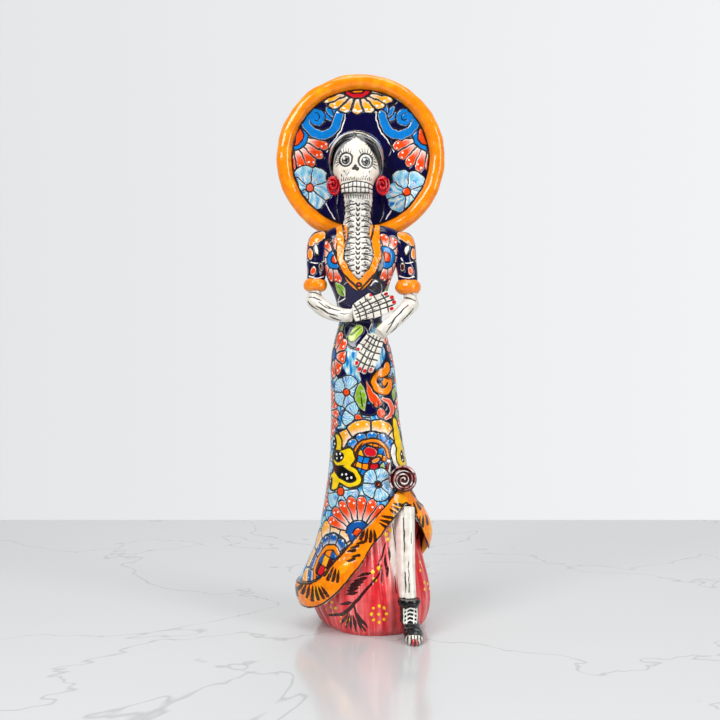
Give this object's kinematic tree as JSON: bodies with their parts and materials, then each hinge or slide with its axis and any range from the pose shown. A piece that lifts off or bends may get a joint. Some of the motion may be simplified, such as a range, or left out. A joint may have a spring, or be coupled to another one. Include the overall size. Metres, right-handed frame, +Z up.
{
  "type": "skeleton lady figurine",
  "caption": "Tall glazed earthenware skeleton lady in a long flower-painted dress and a wide round hat, with bony hands at the waist and one booted leg forward.",
  "frame": {"origin": "on the table plane, on the underside of the base plate, below the neck", "axes": "+Z up, the figure faces -Y, her right hand is at -X"},
  "size_m": [0.171, 0.1381, 0.5555],
  "materials": {
    "dress_glaze": "glossy hand-painted glaze, cobalt ground with flowers in orange, blue, yellow and green",
    "hat_glaze": "glossy hand-painted glaze, cobalt ground with scrolls and flowers",
    "hem_glaze": "glossy orange glaze with dark brushed leaves",
    "orange_glaze": "glossy orange glaze, thinner on the edges",
    "underskirt_glaze": "glossy streaked red-pink glaze with dark twigs",
    "rosette_glaze": "glossy dark red and white glaze",
    "bone_glaze": "glossy off-white glaze with thin black brush lines",
    "hair_glaze": "glossy black and white streaked glaze",
    "red_glaze": "glossy red glaze",
    "boot_glaze": "glossy black glaze with white brush lines",
    "bare_clay": "unglazed fired clay"
  },
  "bodies": {
    "root": {"skirt_shell": "dress_glaze", "hem_band_front": "hem_glaze", "hem_band_back": "hem_glaze", "hem_rosette": "rosette_glaze", "underskirt": "underskirt_glaze", "base_plate": "bare_clay", "bodice_shell": "dress_glaze", "chest_and_neck": "bone_glaze", "neckline_trim": "orange_glaze", "skull": "bone_glaze", "hair_right": "hair_glaze", "hair_left": "hair_glaze", "earring_right": "red_glaze", "earring_left": "red_glaze", "hat_rim": "orange_glaze", "hat_brim": "hat_glaze", "hat_crown": "hat_glaze", "sleeve_right": "dress_glaze", "sleeve_left": "dress_glaze", "cuff_right": "orange_glaze", "cuff_left": "orange_glaze", "forearm_right": "bone_glaze", "forearm_left": "bone_glaze", "hand_right": "bone_glaze", "hand_left": "bone_glaze", "shin_bone": "bone_glaze", "boot_cuff": "boot_glaze", "ankle_boot": "boot_glaze", "foot_bones": "bone_glaze"}
  },
  "joints": []
}
